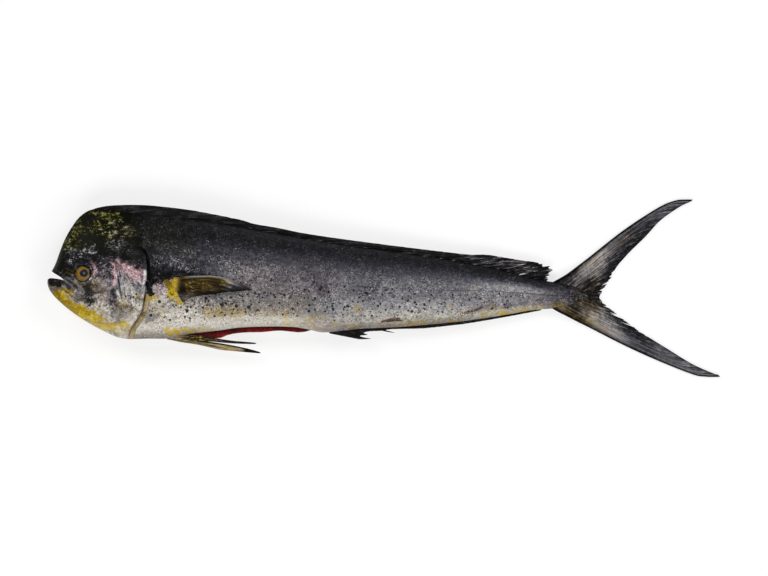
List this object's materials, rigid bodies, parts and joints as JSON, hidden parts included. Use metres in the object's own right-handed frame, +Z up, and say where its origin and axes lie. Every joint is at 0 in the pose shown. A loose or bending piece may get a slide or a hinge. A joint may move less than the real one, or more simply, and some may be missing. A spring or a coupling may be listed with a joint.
{
  "type": "whole raw dolphinfish",
  "caption": "Long, flat-sided whole raw fish with a steep forehead, a forked tail and an opened belly, lying on its side.",
  "frame": {"origin": "middle of the fish's outline as it lies, on the surface that it rests on", "axes": "+X along the fish towards its tail, +Y towards its back, +Z up from the surface, through the fish to its left side"},
  "size_m": [1, 0.265, 0.0862],
  "materials": {
    "skin": "wet skin, black on the back, silver-grey below",
    "eye": "clear and wet, golden brown round a dark pupil",
    "lining": "wet, dark red"
  },
  "bodies": {
    "root": {"fish": "skin", "eye_left": "eye", "eye_right": "eye", "belly_lining": "lining"}
  },
  "joints": []
}
